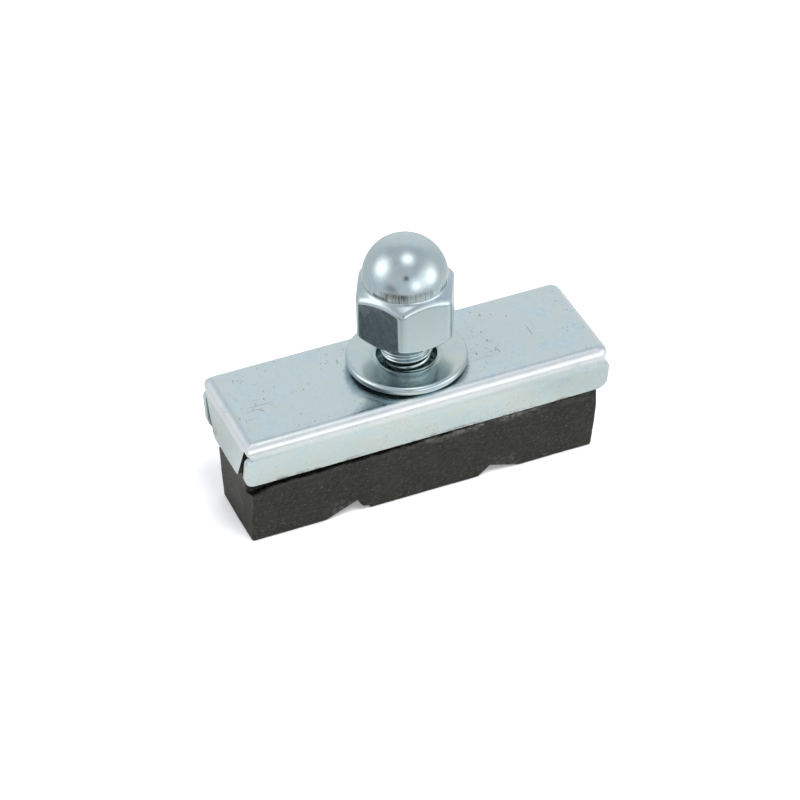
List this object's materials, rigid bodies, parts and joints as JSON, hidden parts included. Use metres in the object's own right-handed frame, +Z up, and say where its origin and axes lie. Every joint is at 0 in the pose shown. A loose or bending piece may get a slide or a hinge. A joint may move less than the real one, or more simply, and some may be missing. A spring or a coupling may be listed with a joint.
{
  "type": "bicycle rim brake pad",
  "caption": "Rubber rim brake block crimped in a folded zinc-plated steel holder, with a threaded stud, washer and dome nut that clamp it to a brake arm.",
  "frame": {"origin": "centre of the braking face, under the stud, with the pad standing on that face", "axes": "+X along the pad, +Y across it, +Z up the stud towards the dome nut"},
  "size_m": [0.0416, 0.0136, 0.0308],
  "materials": {
    "zinc_sheet": "zinc plated",
    "zinc_bright": "bright zinc plated",
    "rubber": "matt moulded"
  },
  "bodies": {
    "pad": {"holder": "zinc_sheet", "brake_block": "rubber", "stud": "zinc_bright", "washer": "zinc_bright"},
    "nut": {"dome_nut": "zinc_bright"}
  },
  "joints": [
    {"name": "nut_travel", "type": "slide", "parent": "pad", "child": "nut", "axis": [0, 0, 1], "range_m": [-0.0035, 0.003]}
  ]
}
